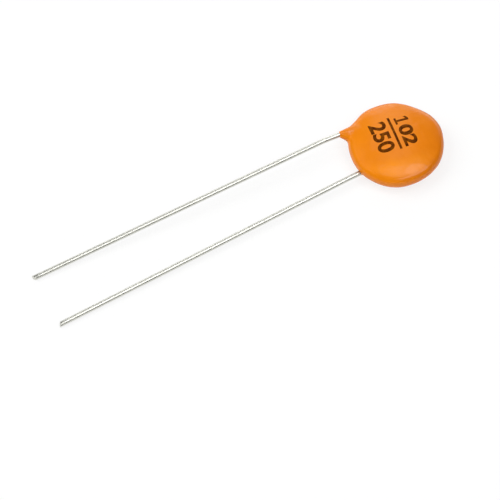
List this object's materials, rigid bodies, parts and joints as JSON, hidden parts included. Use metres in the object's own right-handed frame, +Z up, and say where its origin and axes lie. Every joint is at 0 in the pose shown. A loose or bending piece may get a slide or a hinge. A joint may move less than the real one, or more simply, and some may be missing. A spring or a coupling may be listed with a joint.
{
  "type": "ceramic disc capacitor",
  "caption": "Ceramic disc capacitor: a lens-shaped dipped resin body over a soldered ceramic disc, with long straight wire leads that slope down to the floor.",
  "frame": {"origin": "floor level under the middle of the part's outline, as it lies on its belly with both free tips on the floor", "axes": "+X from the leads' free tips towards the disc, +Y across the leads from the back lead to the front lead, +Z up, out of the printed face"},
  "size_m": [0.0454, 0.0102, 0.003],
  "materials": {
    "resin": "orange dipped epoxy resin, smooth with a soft gloss",
    "ceramic": "fired barium titanate, matt buff",
    "silver": "fired silver paste, matt",
    "solder": "tin solder, satin grey",
    "tinned_wire": "bright tinned wire",
    "marking_ink": "dark brown printed marking ink"
  },
  "bodies": {
    "root": {"resin_coat": "resin", "ceramic_disc": "ceramic", "front_electrode": "silver", "back_electrode": "silver", "front_solder": "solder", "back_solder": "solder", "front_lead": "tinned_wire", "back_lead": "tinned_wire"}
  },
  "joints": []
}
